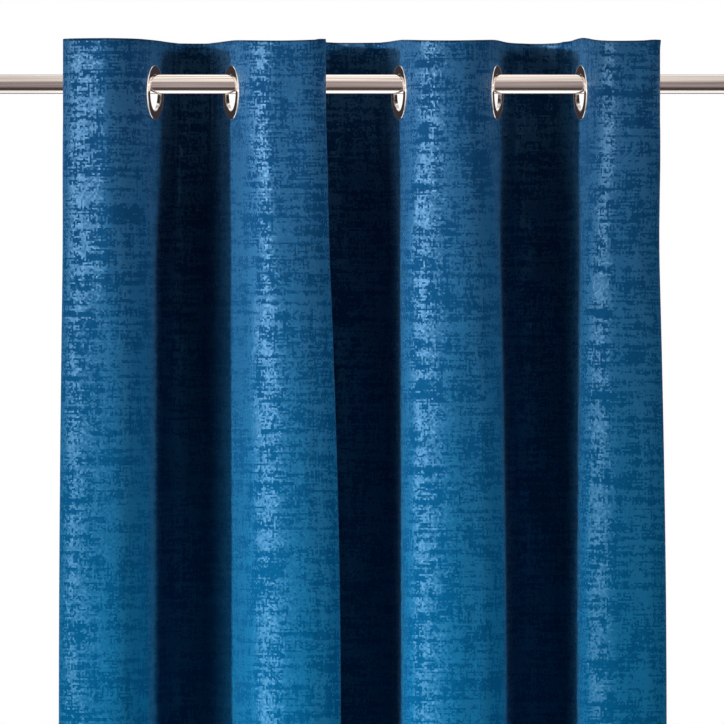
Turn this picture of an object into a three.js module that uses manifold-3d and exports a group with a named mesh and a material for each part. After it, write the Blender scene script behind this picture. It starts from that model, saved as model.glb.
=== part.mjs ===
// Eyelet blackout curtain on a plain rod, in millimetres with +Z up.
// The origin is the middle of the rod's axis. +X runs along the rod, to the right as seen from the room,
// and +Y points away from the room.
//
// The cloth is cut flat, with a distance across and a distance down from its top edge, and is then bent
// into folds without stretching. At each height its plan is a curve whose direction swings to and fro
// from one eyelet to the next, and adding up that direction along the cloth gives the place of each point.

import * as THREE from "three";
import { mergeVertices } from "three/addons/utils/BufferGeometryUtils.js";
import Module from "manifold-3d";

// Rod
const ROD_RADIUS = 10;
const ROD_LENGTH = 1200;
const ROD_CHAMFER = 1;
const ROD_SIDES = 32;

// Cloth as cut and hemmed, with its turned edges thicker on the back
const PANEL_WIDTH = 1400;
const PANEL_DROP = 1750;
const FACE_OFFSET = 0.6;
const BACK_OFFSET = 0.6;
const HEM_EXTRA = 0.6;
const HEADING_DEPTH = 100;
const BOTTOM_HEM_DEPTH = 80;
const SIDE_HEM_DEPTH = 25;
const HEM_STEP = 3;

// Eyelets: a front ring with a barrel, and a back ring that closes on it
const EYELET_PITCH = 186;
const EYELET_DROP = 54;
const BORE_RADIUS = 19;
const BARREL_RADIUS = 20.2;
const FLANGE_RADIUS = 28;
const FLANGE_RIM = 0.6;
const FRONT_CROWN = 1.6;
const BACK_CROWN = 0.5;
const CROWN_RADIUS = 22.5;
const RING_SIDES = 20;
const DOME_STEPS = 3;

// Clearance between pieces that rest on each other
const SEAT = 0.3;

// Points closer than this are one point
const WELD_DISTANCE = 1e-4;

// Where the cloth hangs: each eyelet's bore rests on the top of the rod
const EYELET_Z = ROD_RADIUS + SEAT - BORE_RADIUS;
const TOP_Z = EYELET_Z + EYELET_DROP;

// Heights down the cloth: the heading is flat around the rings from FLAT_START to FLAT_END, the folds are
// round from ROUND_START on, and the fold lines reach their low places at LOW_DROP
const FLAT_START = 25;
const FLAT_END = 84;
const ROUND_START = 240;
const LOW_DROP = 709;
const RING_FLAT = 29;

// One row for each eyelet from left to right: where its fold line stands along the rod at the heading, low
// down and at the hem, how many degrees the cloth is turned there from lying along the rod, the half width
// of cloth that stays flat beside the line low down, and how far the top edge rises there
const FOLD_LINES = [
  { headX: -299.5, lowX: -305.5, hemX: -305, headTurn: 104, lowTurn: 102, lowFlat: 28, rise: 0.4 },
  { headX: -215.5, lowX: -218, hemX: -221, headTurn: 74, lowTurn: 88, lowFlat: 4, rise: 0.3 },
  { headX: -134.5, lowX: -130, hemX: -132, headTurn: 73, lowTurn: 70, lowFlat: 4, rise: 0 },
  { headX: -45, lowX: -27, hemX: -28, headTurn: 102, lowTurn: 100, lowFlat: 20, rise: 1.6 },
  { headX: 39.5, lowX: 41, hemX: 45, headTurn: 75, lowTurn: 87, lowFlat: 4, rise: 0.5 },
  { headX: 139, lowX: 149, hemX: 147, headTurn: 77.5, lowTurn: 88, lowFlat: 4, rise: 0.4 },
  { headX: 227.5, lowX: 223.5, hemX: 226, headTurn: 77.5, lowTurn: 90, lowFlat: 4, rise: 2.6 },
  { headX: 298, lowX: 310, hemX: 309, headTurn: 104, lowTurn: 100, lowFlat: 16, rise: 0.7 },
];

// One row for each fold between two eyelets, front folds and valleys by turns: the share of its cloth that
// lies to the left of its crest, and how far the top edge sags there
const FOLDS = [
  { crest: 0.52, sag: -0.4 },
  { crest: 0.5, sag: 0.8 },
  { crest: 0.47, sag: 1.9 },
  { crest: 0.53, sag: 0.5 },
  { crest: 0.49, sag: 1.9 },
  { crest: 0.5, sag: 1.3 },
  { crest: 0.46, sag: 2.4 },
];

// How much of a crest stays round where the cloth turns sharply
const CREST_ROUND = 0.25;

// The side edges turn in behind the end folds by this many more degrees
const EDGE_CURL = 30;

// Fineness of the cloth
const ARC_COLUMNS = 11;
const EDGE_COLUMNS = 2;
const BODY_ROWS = [0, 12, FLAT_START, FLAT_END, 145, 190, ROUND_START, 350, 500, LOW_DROP, 930, 1200, 1450];
const SUM_STEPS = 120;
const SHAPE_STEPS = 32;
const SOLVE_STEPS = 30;
const SHAPE_MIN = 0.25;
const SHAPE_MAX = 12;

const EDGE_WIDTH = (PANEL_WIDTH - EYELET_PITCH * FOLDS.length) / 2;

const blackoutCloth = new THREE.MeshStandardMaterial({ color: 0x2f6894, roughness: 0.75, metalness: 0 });
const satinNickel = new THREE.MeshStandardMaterial({ color: 0xb3a7a2, roughness: 0.35, metalness: 1 });
const polishedNickel = new THREE.MeshStandardMaterial({ color: 0xd2ccc6, roughness: 0.12, metalness: 1 });

const wasm = await Module();
wasm.setup();

function ease(from, to, value) {
  return THREE.MathUtils.smoothstep(value, from, to);
}

// The fold lines' places and turns, and the half width of the flat cloth around them, at one height
function linesAt(drop) {
  const fall = THREE.MathUtils.clamp((drop - FLAT_END) / (LOW_DROP - FLAT_END), 0, 1);
  const low = Math.sin((fall * Math.PI) / 2);
  const hem = ease(LOW_DROP, PANEL_DROP, drop);
  const round = ease(FLAT_END, ROUND_START, drop);
  return FOLD_LINES.map((line) => {
    const hung = THREE.MathUtils.lerp(line.headX, line.lowX, low);
    const turn = THREE.MathUtils.lerp(line.headTurn, line.lowTurn, round);
    return {
      x: THREE.MathUtils.lerp(hung, line.hemX, hem),
      turn: THREE.MathUtils.degToRad(turn),
      flat: THREE.MathUtils.lerp(RING_FLAT, line.lowFlat, round),
    };
  });
}

// How far the cloth has turned at a share of the way from a fold's crest to its flat part: a quarter sine
// wave that a higher shape number holds flat for longer, with the crest itself kept round
function turnShare(share, shape) {
  const held = (share ** 2 + CREST_ROUND ** 2) / (1 + CREST_ROUND ** 2);
  return Math.sin((Math.PI / 2) * share * held ** ((shape - 1) / 2));
}

// The run along the rod and the rise across it of half a fold, from its crest to its fold line
function halfFold(line, reach, shape) {
  const size = { run: line.flat * Math.cos(line.turn), rise: line.flat * Math.sin(line.turn) };
  for (let step = 0; step < SHAPE_STEPS; step += 1) {
    const angle = line.turn * turnShare((step + 0.5) / SHAPE_STEPS, shape);
    size.run += (Math.cos(angle) * reach) / SHAPE_STEPS;
    size.rise += (Math.sin(angle) * reach) / SHAPE_STEPS;
  }
  return size;
}

// The shape number at which a measure that grows with it reaches a target, found by halving
function solveShape(measure, target) {
  let low = SHAPE_MIN;
  let high = SHAPE_MAX;
  for (let step = 0; step < SOLVE_STEPS; step += 1) {
    const middle = (low + high) / 2;
    if (measure(middle) < target) {
      low = middle;
    } else {
      high = middle;
    }
  }
  return (low + high) / 2;
}

// The two halves of a fold between two fold lines: both rise to one crest, and together they span the lines
function fitFold(left, right, crest) {
  const leftReach = EYELET_PITCH * crest - left.flat;
  const rightReach = EYELET_PITCH * (1 - crest) - right.flat;
  const rightFor = (leftShape) => {
    const rise = halfFold(left, leftReach, leftShape).rise;
    return solveShape((shape) => -halfFold(right, rightReach, shape).rise, -rise);
  };
  const span = (shape) =>
    halfFold(left, leftReach, shape).run + halfFold(right, rightReach, rightFor(shape)).run;
  const leftShape = solveShape(span, right.x - left.x);
  return { leftReach, rightReach, leftShape, rightShape: rightFor(leftShape) };
}

// The cloth's direction in plan at a distance along a fold: front folds swing out to the room and valleys
// swing back
function foldAngle(left, right, fit, side, along) {
  const fromCrest = along - left.flat - fit.leftReach;
  if (fromCrest < 0) {
    const share = Math.min(-fromCrest / fit.leftReach, 1);
    return side * left.turn * turnShare(share, fit.leftShape);
  }
  const share = Math.min(fromCrest / fit.rightReach, 1);
  return -side * right.turn * turnShare(share, fit.rightShape);
}

// The plan of the whole cloth at one height: a function from the distance across to a point and a direction
function planAt(drop) {
  const lines = linesAt(drop);
  const step = EYELET_PITCH / SUM_STEPS;
  const folds = FOLDS.map((fold, index) => {
    const left = lines[index];
    const right = lines[index + 1];
    const side = index % 2 === 0 ? -1 : 1;
    const fit = fitFold(left, right, fold.crest);
    const angle = (along) => foldAngle(left, right, fit, side, along);
    const points = [new THREE.Vector2(left.x, 0)];
    for (let count = 0; count < SUM_STEPS; count += 1) {
      const middle = angle((count + 0.5) * step);
      const last = points[count];
      points.push(new THREE.Vector2(last.x + Math.cos(middle) * step, last.y + Math.sin(middle) * step));
    }
    const miss = new THREE.Vector2(right.x, 0).sub(points[SUM_STEPS]);
    points.forEach((point, count) => point.addScaledVector(miss, count / SUM_STEPS));
    return { angle, points };
  });
  return (across) => {
    const along = across - EDGE_WIDTH;
    const length = EYELET_PITCH * FOLDS.length;
    if (along < 0 || along > length) {
      return edgePoint(lines, Math.max(-along, along - length), along < 0);
    }
    const index = Math.min(Math.floor(along / EYELET_PITCH), FOLDS.length - 1);
    const inFold = along - index * EYELET_PITCH;
    const place = inFold / step;
    const first = Math.min(Math.floor(place), SUM_STEPS - 1);
    const { angle, points } = folds[index];
    const point = points[first].clone().lerp(points[first + 1], place - first);
    return { point, angle: angle(inFold) };
  };
}

// The plan of a side edge: from the end eyelet it runs straight back and then turns in behind the fold
function edgePoint(lines, distance, isLeft) {
  const line = isLeft ? lines[0] : lines[lines.length - 1];
  const side = isLeft ? -1 : 1;
  const angleAt = (length) => {
    const share = THREE.MathUtils.clamp((length - line.flat) / (EDGE_WIDTH - line.flat), 0, 1);
    return side * (line.turn + THREE.MathUtils.degToRad(EDGE_CURL) * share);
  };
  const point = new THREE.Vector2(line.x, 0);
  const step = distance / SUM_STEPS;
  for (let count = 0; count < SUM_STEPS; count += 1) {
    const angle = angleAt((count + 0.5) * step);
    point.x += side * Math.cos(angle) * step;
    point.y += side * Math.sin(angle) * step;
  }
  return { point, angle: angleAt(distance) };
}

// How far the back of the cloth stands behind its middle, more where its edges are turned over
function backOffset(across, drop) {
  const fromSide = Math.min(across, PANEL_WIDTH - across);
  const fromBottom = PANEL_DROP - drop;
  const isTurned = fromSide <= SIDE_HEM_DEPTH || drop <= HEADING_DEPTH || fromBottom <= BOTTOM_HEM_DEPTH;
  return isTurned ? BACK_OFFSET + HEM_EXTRA : BACK_OFFSET;
}

// How far the cloth rises near its top edge: it swings from each eyelet's rise to the sag at each crest, and
// fades out above the rings
function topWave(across, drop) {
  const length = EYELET_PITCH * FOLDS.length;
  const along = THREE.MathUtils.clamp(across - EDGE_WIDTH, 0, length) / EYELET_PITCH;
  const index = Math.min(Math.floor(along), FOLDS.length - 1);
  const { crest, sag } = FOLDS[index];
  const share = along - index;
  const isLeft = share < crest;
  const near = FOLD_LINES[isLeft ? index : index + 1].rise;
  const fromLine = isLeft ? share / crest : (1 - share) / (1 - crest);
  const wave = THREE.MathUtils.lerp(near, -sag, ease(0, 1, fromLine));
  return wave * (1 - ease(0, FLAT_START, drop));
}

function evenSteps(from, to, count) {
  return Array.from({ length: count }, (_, step) => from + ((to - from) * step) / count);
}

// Distances across the cloth at which it is divided: the flat around each eyelet, the round of each fold,
// and the side edges with the step of their hems
function clothColumns() {
  const curlEnd = EDGE_WIDTH - RING_FLAT;
  const columns = evenSteps(0, curlEnd, EDGE_COLUMNS);
  columns.push(curlEnd, SIDE_HEM_DEPTH, SIDE_HEM_DEPTH + HEM_STEP);
  FOLDS.forEach((fold, index) => {
    const start = EDGE_WIDTH + EYELET_PITCH * index;
    columns.push(start);
    columns.push(...evenSteps(start + RING_FLAT, start + EYELET_PITCH - RING_FLAT, ARC_COLUMNS));
    columns.push(start + EYELET_PITCH - RING_FLAT);
  });
  const mirrored = columns.filter((across) => across < EDGE_WIDTH).map((across) => PANEL_WIDTH - across);
  return [...columns, PANEL_WIDTH - EDGE_WIDTH, ...mirrored.reverse()];
}

// Distances down the cloth at which it is divided, with the steps of the heading and the bottom hem
function clothRows() {
  const bottom = PANEL_DROP - BOTTOM_HEM_DEPTH;
  const rows = [...BODY_ROWS, HEADING_DEPTH, HEADING_DEPTH + HEM_STEP, bottom - HEM_STEP, bottom, PANEL_DROP];
  return rows.sort((first, second) => first - second);
}

// The cloth begins as a flat box divided into columns and rows, and each of its points moves to its fold
function foldedCloth() {
  const columns = clothColumns();
  const rows = clothRows();
  const plans = rows.map(planAt);
  const across = columns.length - 1;
  const down = rows.length - 1;
  const cloth = new THREE.BoxGeometry(1, 1, 1, across, 1, down);
  const position = cloth.getAttribute("position");
  for (let index = 0; index < position.count; index += 1) {
    const column = columns[Math.round((position.getX(index) + 0.5) * across)];
    const row = Math.round((0.5 - position.getZ(index)) * down);
    const { point, angle } = plans[row](column);
    const isFace = position.getY(index) < 0;
    const offset = isFace ? FACE_OFFSET : -backOffset(column, rows[row]);
    const x = point.x + Math.sin(angle) * offset;
    const y = point.y - Math.cos(angle) * offset;
    position.setXYZ(index, x, y, TOP_Z - rows[row] + topWave(column, rows[row]));
  }
  return cloth;
}

function weld(geometry) {
  geometry.deleteAttribute("normal");
  geometry.deleteAttribute("uv");
  return mergeVertices(geometry, WELD_DISTANCE);
}

function toSolid(geometry) {
  const welded = weld(geometry);
  const vertProperties = new Float32Array(welded.getAttribute("position").array);
  const triVerts = new Uint32Array(welded.getIndex().array);
  return new wasm.Manifold(new wasm.Mesh({ numProp: 3, vertProperties, triVerts }));
}

function toGeometry(solid) {
  const mesh = solid.getMesh();
  const geometry = new THREE.BufferGeometry();
  geometry.setAttribute("position", new THREE.BufferAttribute(mesh.vertProperties, 3));
  geometry.setIndex(new THREE.BufferAttribute(mesh.triVerts, 1));
  geometry.computeVertexNormals();
  return geometry;
}

// A piece's place at an eyelet: at the bore's middle, with its own +Y axis out of the cloth's face
function seatAtEyelet(piece, index) {
  const line = FOLD_LINES[index];
  const side = index % 2 === 0 ? -1 : 1;
  piece.position.set(line.headX, 0, EYELET_Z);
  piece.rotation.z = side * THREE.MathUtils.degToRad(line.headTurn) + Math.PI;
  piece.updateMatrix();
  return piece;
}

function curtainPanel() {
  const holeRadius = BARREL_RADIUS + SEAT;
  const holeDepth = BARREL_RADIUS;
  let cloth = toSolid(foldedCloth());
  FOLD_LINES.forEach((line, index) => {
    const punch = new THREE.CylinderGeometry(holeRadius, holeRadius, holeDepth, RING_SIDES);
    punch.applyMatrix4(seatAtEyelet(new THREE.Object3D(), index).matrix);
    cloth = cloth.subtract(toSolid(punch));
  });
  const panel = new THREE.Mesh(toGeometry(cloth), blackoutCloth);
  panel.name = "curtain_panel";
  return panel;
}

// The front ring's section: the barrel through the cloth, the flange on the cloth's face, and its dome
function frontRingSection() {
  const seat = FACE_OFFSET + SEAT;
  const barrelEnd = -(BACK_OFFSET + HEM_EXTRA + SEAT + BACK_CROWN);
  const crown = seat + FRONT_CROWN;
  const section = new THREE.Path();
  section.moveTo(BARREL_RADIUS, barrelEnd);
  section.lineTo(BARREL_RADIUS, seat);
  section.lineTo(FLANGE_RADIUS, seat);
  section.lineTo(FLANGE_RADIUS, seat + FLANGE_RIM);
  section.quadraticCurveTo(FLANGE_RADIUS - FLANGE_RIM, crown, CROWN_RADIUS, crown);
  section.quadraticCurveTo(BORE_RADIUS, crown, BORE_RADIUS, seat);
  section.lineTo(BORE_RADIUS, barrelEnd);
  section.lineTo(BARREL_RADIUS, barrelEnd);
  return section.getPoints(DOME_STEPS);
}

// The back ring's section: a domed washer around the barrel's end
function backRingSection() {
  const seat = -(BACK_OFFSET + HEM_EXTRA + SEAT);
  const inner = BARREL_RADIUS + SEAT;
  const crown = seat - BACK_CROWN;
  const section = new THREE.Path();
  section.moveTo(FLANGE_RADIUS, seat - FLANGE_RIM);
  section.lineTo(FLANGE_RADIUS, seat);
  section.lineTo(inner, seat);
  section.lineTo(inner, crown);
  section.lineTo(CROWN_RADIUS, crown);
  section.quadraticCurveTo(FLANGE_RADIUS - FLANGE_RIM, crown, FLANGE_RADIUS, seat - FLANGE_RIM);
  return section.getPoints(DOME_STEPS);
}

function eyeletRing(section, index, half) {
  const ring = new THREE.Mesh(new THREE.LatheGeometry(section, RING_SIDES), polishedNickel);
  ring.name = `eyelet_${index + 1}_${half}`;
  return seatAtEyelet(ring, index);
}

// A solid bar with chamfered ends, turned about its axis and laid along X
function curtainRod() {
  const half = ROD_LENGTH / 2;
  const section = [
    new THREE.Vector2(0, -half),
    new THREE.Vector2(ROD_RADIUS - ROD_CHAMFER, -half),
    new THREE.Vector2(ROD_RADIUS, ROD_CHAMFER - half),
    new THREE.Vector2(ROD_RADIUS, half - ROD_CHAMFER),
    new THREE.Vector2(ROD_RADIUS - ROD_CHAMFER, half),
    new THREE.Vector2(0, half),
  ];
  const rod = new THREE.Mesh(new THREE.LatheGeometry(section, ROD_SIDES), satinNickel);
  rod.name = "rod";
  rod.rotation.z = -Math.PI / 2;
  return rod;
}

const curtain = new THREE.Group();
curtain.add(curtainRod());
curtain.add(curtainPanel());
FOLD_LINES.forEach((line, index) => {
  curtain.add(eyeletRing(frontRingSection(), index, "front"));
  curtain.add(eyeletRing(backRingSection(), index, "back"));
});

export default curtain;
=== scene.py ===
"""The looks of an eyelet blackout curtain on a rod: cloth, rings, rod, studio light and camera."""

import math

import bpy
import numpy as np
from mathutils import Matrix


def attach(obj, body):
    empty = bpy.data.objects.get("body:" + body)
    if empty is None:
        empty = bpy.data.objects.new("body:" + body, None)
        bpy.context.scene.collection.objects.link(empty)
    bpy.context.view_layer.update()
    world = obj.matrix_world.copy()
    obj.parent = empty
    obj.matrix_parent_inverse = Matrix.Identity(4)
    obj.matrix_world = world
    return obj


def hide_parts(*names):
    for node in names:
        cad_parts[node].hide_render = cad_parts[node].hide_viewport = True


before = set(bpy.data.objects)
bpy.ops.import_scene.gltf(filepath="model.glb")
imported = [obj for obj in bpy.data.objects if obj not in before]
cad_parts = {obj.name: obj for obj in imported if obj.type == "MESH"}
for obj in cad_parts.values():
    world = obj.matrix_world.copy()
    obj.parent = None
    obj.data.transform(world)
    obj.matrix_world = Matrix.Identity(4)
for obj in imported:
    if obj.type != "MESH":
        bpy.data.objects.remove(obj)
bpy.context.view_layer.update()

MM = 0.001
BODY = "root"

# Sizes in millimetres, as the solids have them
ROD_RADIUS = 10.0
ROD_LENGTH = 1200.0
ROD_CHAMFER = 1.0
PANEL_WIDTH = 1400.0
PANEL_DROP = 1750.0
FACE_OFFSET = 0.6
BACK_OFFSET = 0.6
HEM_EXTRA = 0.6
HEADING_DEPTH = 100.0
BOTTOM_HEM_DEPTH = 80.0
SIDE_HEM_DEPTH = 25.0
HEM_STEP = 3.0
EYELET_PITCH = 186.0
EYELET_DROP = 54.0
BORE_RADIUS = 19.0
BARREL_RADIUS = 20.2
FLANGE_RADIUS = 28.0
FLANGE_RIM = 0.6
FRONT_CROWN = 1.6
BACK_CROWN = 0.5
CROWN_RADIUS = 22.5
SEAT = 0.3
EYELET_Z = ROD_RADIUS + SEAT - BORE_RADIUS
TOP_Z = EYELET_Z + EYELET_DROP

# Heights down the cloth between which the folds change, the flat cloth kept around each ring, and the
# curl of the side edges
FLAT_START = 25.0
FLAT_END = 84.0
ROUND_START = 240.0
LOW_DROP = 709.0
RING_FLAT = 29.0
EDGE_CURL = math.radians(30.0)

# One row for each eyelet from left to right: place along the rod at the heading, low down and at the hem,
# the turn of the cloth in degrees at the heading and low down, the half width of cloth that stays flat low
# down, and the rise of the top edge
FOLD_LINES = np.array([
    (-299.5, -305.5, -305.0, 104.0, 102.0, 28.0, 0.4),
    (-215.5, -218.0, -221.0, 74.0, 88.0, 4.0, 0.3),
    (-134.5, -130.0, -132.0, 73.0, 70.0, 4.0, 0.0),
    (-45.0, -27.0, -28.0, 102.0, 100.0, 20.0, 1.6),
    (39.5, 41.0, 45.0, 75.0, 87.0, 4.0, 0.5),
    (139.0, 149.0, 147.0, 77.5, 88.0, 4.0, 0.4),
    (227.5, 223.5, 226.0, 77.5, 90.0, 4.0, 2.6),
    (298.0, 310.0, 309.0, 104.0, 100.0, 16.0, 0.7),
])
HEAD_X, LOW_X, HEM_X, HEAD_TURN, LOW_TURN, LOW_FLAT, TOP_RISE = FOLD_LINES.T
EYELETS = len(FOLD_LINES)
SIDES = np.where(np.arange(EYELETS) % 2 == 0, -1.0, 1.0)

# One row for each fold between two eyelets: the share of its cloth that lies to the left of its crest, and
# the sag of the top edge there
FOLD_CRESTS = np.array([
    (0.52, -0.4),
    (0.5, 0.8),
    (0.47, 1.9),
    (0.53, 0.5),
    (0.49, 1.9),
    (0.5, 1.3),
    (0.46, 2.4),
])
CRESTS, TOP_SAG = FOLD_CRESTS.T
FOLDS = len(FOLD_CRESTS)
EDGE_WIDTH = (PANEL_WIDTH - EYELET_PITCH * FOLDS) / 2

# The photograph: its width in pixels, the size of a pixel at the rod, and the rod's pixel height
PHOTO_PIXELS = 724
PIXEL_MM = 1.036
ROD_PIXEL_Y = 84.2
# The camera's distance and how far it sees, in metres, and the width of its sensor
CAMERA_DISTANCE = 11.0
VIEW_END = 200.0
SENSOR_MM = 36.0


def ease(start, end, value):
    """A smooth step from 0 to 1 between two values: 3t squared less 2t cubed."""
    share = np.clip((value - start) / (end - start), 0.0, 1.0)
    return share * share * (3.0 - 2.0 * share)


# The folds of the cloth

# The parts that half a fold is summed in, the halvings that find its shape number, and that number's limits
SHAPE_SAMPLES = 32
SHAPE_STEPS = (np.arange(SHAPE_SAMPLES) + 0.5) / SHAPE_SAMPLES
SOLVE_STEPS = 22
SHAPE_MIN = 0.25
SHAPE_MAX = 12.0
# The share of half a fold over which its crest is kept round, and the step across the cloth of its plan
CREST_ROUND = 0.25
SUM_STEP = 0.5


def lines_at(drops):
    """Place, turn and flat half width of the fold lines at each height: the head place slides to the low
    place on a quarter sine, and from there to the hem's place on a smooth step. Turn and flat half width
    change on a smooth step below the heading."""
    fall = np.clip((drops - FLAT_END) / (LOW_DROP - FLAT_END), 0.0, 1.0)[:, None]
    low = np.sin(fall * math.pi / 2)
    hem = ease(LOW_DROP, PANEL_DROP, drops)[:, None]
    hung = HEAD_X + (LOW_X - HEAD_X) * low
    place = hung + (HEM_X - hung) * hem
    rounded = ease(FLAT_END, ROUND_START, drops)[:, None]
    turn = np.radians(HEAD_TURN + (LOW_TURN - HEAD_TURN) * rounded)
    flat = RING_FLAT + (LOW_FLAT - RING_FLAT) * rounded
    return place, turn, flat


def turn_share(share, shape):
    """How far the cloth has turned on its way from a crest: a quarter sine of the share raised to the
    shape number, with the crest itself kept round."""
    held = (share * share + CREST_ROUND**2) / (1.0 + CREST_ROUND**2)
    return np.sin(math.pi / 2 * share * held ** ((shape - 1.0) / 2))


def half_fold(turn, flat, reach, shape):
    """Run along the rod and rise across it of half a fold: the mean cosine and sine of the turning part,
    and the straight flat part beside the fold line."""
    angle = turn[..., None] * turn_share(SHAPE_STEPS, shape[..., None])
    run = flat * np.cos(turn) + reach * np.cos(angle).mean(-1)
    rise = flat * np.sin(turn) + reach * np.sin(angle).mean(-1)
    return run, rise


def solve_shape(measure, target):
    """The shape numbers at which a measure that grows with them meets its target, by halving."""
    low = np.full(target.shape, SHAPE_MIN)
    high = np.full(target.shape, SHAPE_MAX)
    for _ in range(SOLVE_STEPS):
        middle = (low + high) / 2
        is_short = measure(middle) < target
        low = np.where(is_short, middle, low)
        high = np.where(is_short, high, middle)
    return (low + high) / 2


def fit_folds(place, turn, flat):
    """Reach and shape number of both halves of each fold: the halves meet at one crest and together span
    the distance between their fold lines."""
    left_flat = flat[:, :-1]
    right_flat = flat[:, 1:]
    left_reach = EYELET_PITCH * CRESTS - left_flat
    right_reach = EYELET_PITCH * (1.0 - CRESTS) - right_flat
    left_turn = turn[:, :-1]
    right_turn = turn[:, 1:]

    def right_for(left_shape):
        rise = half_fold(left_turn, left_flat, left_reach, left_shape)[1]
        return solve_shape(lambda shape: -half_fold(right_turn, right_flat, right_reach, shape)[1], -rise)

    def span(left_shape):
        left_run = half_fold(left_turn, left_flat, left_reach, left_shape)[0]
        return left_run + half_fold(right_turn, right_flat, right_reach, right_for(left_shape))[0]

    left_shape = solve_shape(span, np.diff(place, axis=1))
    return left_reach, right_reach, left_shape, right_for(left_shape)


def cloth_plan(drops):
    """Plan of the cloth at each height, on even steps across it: the direction swings from fold line to
    fold line, its cosine and sine are summed, and each fold line is brought back to its place."""
    place, turn, flat = lines_at(drops)
    left_reach, right_reach, left_shape, right_shape = fit_folds(place, turn, flat)
    across = np.arange(0.0, PANEL_WIDTH + SUM_STEP / 2, SUM_STEP)
    along = across - EDGE_WIDTH
    fold = np.clip(along // EYELET_PITCH, 0, FOLDS - 1).astype(int)
    from_crest = along - fold * EYELET_PITCH - flat[:, fold] - left_reach[:, fold]
    left_share = np.clip(-from_crest / left_reach[:, fold], 0.0, 1.0)
    right_share = np.clip(from_crest / right_reach[:, fold], 0.0, 1.0)
    left_angle = SIDES[fold] * turn[:, fold] * turn_share(left_share, left_shape[:, fold])
    right_angle = SIDES[fold + 1] * turn[:, fold + 1] * turn_share(right_share, right_shape[:, fold])
    angle = np.where(from_crest < 0, left_angle, right_angle)
    past = np.maximum(-along, along - EYELET_PITCH * FOLDS)
    end_flat = np.where(along < 0, flat[:, :1], flat[:, -1:])
    curl = EDGE_CURL * np.clip((past - end_flat) / (EDGE_WIDTH - end_flat), 0.0, 1.0)
    angle = angle + np.where(past > 0, np.sign(along) * curl, 0.0)

    lines = EDGE_WIDTH + EYELET_PITCH * np.arange(EYELETS)
    line_steps = np.rint(lines / SUM_STEP).astype(int)
    middle = (angle[:, 1:] + angle[:, :-1]) / 2
    plan = []
    for part, target in ((np.cos(middle), place), (np.sin(middle), 0.0 * place)):
        summed = np.concatenate([np.zeros((len(drops), 1)), np.cumsum(part, axis=1) * SUM_STEP], axis=1)
        miss = target - summed[:, line_steps]
        step = np.clip(along / EYELET_PITCH, 0.0, FOLDS)
        share = step - fold
        plan.append(summed + miss[:, fold] * (1 - share) + miss[:, fold + 1] * share)
    return plan[0], plan[1], angle


# The cloth as a fine sheet

# Cells of the grid across the flat cloth at a ring, half across the square that becomes its hole, across
# the round of a fold, and across a side edge
RING_CELLS = 12
HOLE_CELLS = 4
ARC_CELLS = 34
EDGE_CELLS = 6
HOLE_RADIUS = 20.6
# The outer edges of the sheet: how far in the softening begins, and the share of the thickness left
SOFT_EDGE = 0.8
EDGE_THIN = 0.35
# Small amounts that keep a distance above zero and a place inside the plan
TINY = 1e-6
PLAN_MARGIN = 0.001
RING_BAND_END = EYELET_DROP + RING_FLAT
HEM_TOP = PANEL_DROP - BOTTOM_HEM_DEPTH
# One row for each band of the grid down the cloth: its start, its end and its number of cells
ROW_BANDS = (
    (0.0, FLAT_START, 6),
    (FLAT_START, RING_BAND_END, RING_CELLS),
    (RING_BAND_END, ROUND_START, 15),
    (ROUND_START, LOW_DROP, 36),
    (LOW_DROP, HEM_TOP - HEM_STEP, 38),
    (HEM_TOP - HEM_STEP, HEM_TOP, 1),
    (HEM_TOP, PANEL_DROP, 6),
)


def band_lines(bands, end):
    """Grid lines of bands that follow each other, each split evenly, with a line just inside both ends."""
    parts = [np.linspace(start, stop, cells, endpoint=False) for start, stop, cells in bands]
    lines = np.concatenate(parts + [np.array([end])])
    return np.concatenate([lines[:1], [lines[0] + SOFT_EDGE], lines[1:-1], [end - SOFT_EDGE], lines[-1:]])


def across_lines():
    """Grid lines across the cloth: a band for each ring, each fold's round and each side edge."""
    bands = [(0.0, EDGE_WIDTH - RING_FLAT, EDGE_CELLS)]
    for index in range(EYELETS):
        middle = EDGE_WIDTH + EYELET_PITCH * index
        bands.append((middle - RING_FLAT, middle + RING_FLAT, RING_CELLS))
        if index < FOLDS:
            bands.append((middle + RING_FLAT, middle + EYELET_PITCH - RING_FLAT, ARC_CELLS))
    bands.append((PANEL_WIDTH - EDGE_WIDTH + RING_FLAT, PANEL_WIDTH, EDGE_CELLS))
    return band_lines(bands, PANEL_WIDTH)


def open_holes(across, down):
    """Moves the square of grid around each eyelet so that its inner square becomes the round hole: a point
    goes from the hole's circle to its own place as its square grows. Returns the cells to leave out."""
    cell = 2 * RING_FLAT / RING_CELLS
    inner = cell * HOLE_CELLS
    cells = np.zeros((across.shape[0] - 1, across.shape[1] - 1), bool)
    for index in range(EYELETS):
        right = across - (EDGE_WIDTH + EYELET_PITCH * index)
        low = down - EYELET_DROP
        square = np.maximum(np.abs(right), np.abs(low))
        is_near = square < RING_FLAT
        distance = np.maximum(np.hypot(right, low), TINY)
        share = np.clip((square - inner) / (RING_FLAT - inner), 0.0, 1.0)
        scale = np.where(is_near, HOLE_RADIUS / distance * (1 - share) + share, 1.0)
        is_hole = square < inner + cell / 2
        cells |= is_hole[1:, 1:] & is_hole[:-1, :-1] & is_hole[1:, :-1] & is_hole[:-1, 1:]
        across = across + right * (scale - 1)
        down = down + low * (scale - 1)
    return across, down, cells


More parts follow.
